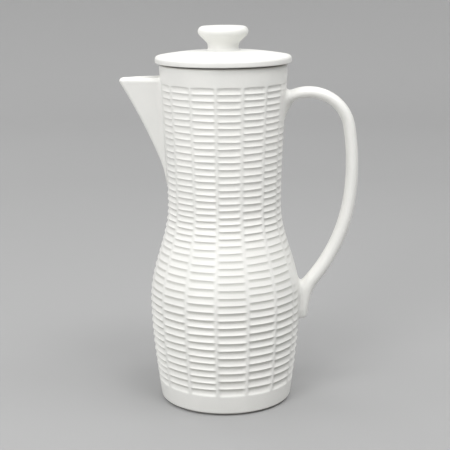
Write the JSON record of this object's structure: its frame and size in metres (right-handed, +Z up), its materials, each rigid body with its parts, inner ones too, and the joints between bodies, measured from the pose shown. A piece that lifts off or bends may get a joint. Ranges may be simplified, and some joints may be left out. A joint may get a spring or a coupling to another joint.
{
  "type": "coffee pot",
  "caption": "Tall waisted coffee pot in white glazed porcelain with basket-weave relief, open beak spout, strap handle and a lift-off domed lid with a round knob.",
  "frame": {"origin": "middle of the foot ring, on the pot's own axis, at the height of the table", "axes": "+Z up along the pot's axis, +X towards the handle, -X towards the spout"},
  "size_m": [0.1694, 0.1084, 0.27],
  "materials": {
    "glazed_body": "satin white glaze",
    "glazed_lid": "satin white glaze"
  },
  "bodies": {
    "pot": {"pot_body": "glazed_body", "spout": "glazed_body", "handle": "glazed_body"},
    "lid_lifter": {"lid_flange": "glazed_lid"},
    "lid": {"lid_cover": "glazed_lid", "lid_knob": "glazed_lid"}
  },
  "joints": [
    {"name": "lid_lift", "type": "slide", "parent": "pot", "child": "lid_lifter", "axis": [0, 0, 1], "range_m": [0, 0.06]},
    {"name": "lid_turn", "type": "hinge", "parent": "lid_lifter", "child": "lid", "pos_m": [0, 0, 0.245], "axis": [0, 0, 1], "continuous": true}
  ]
}
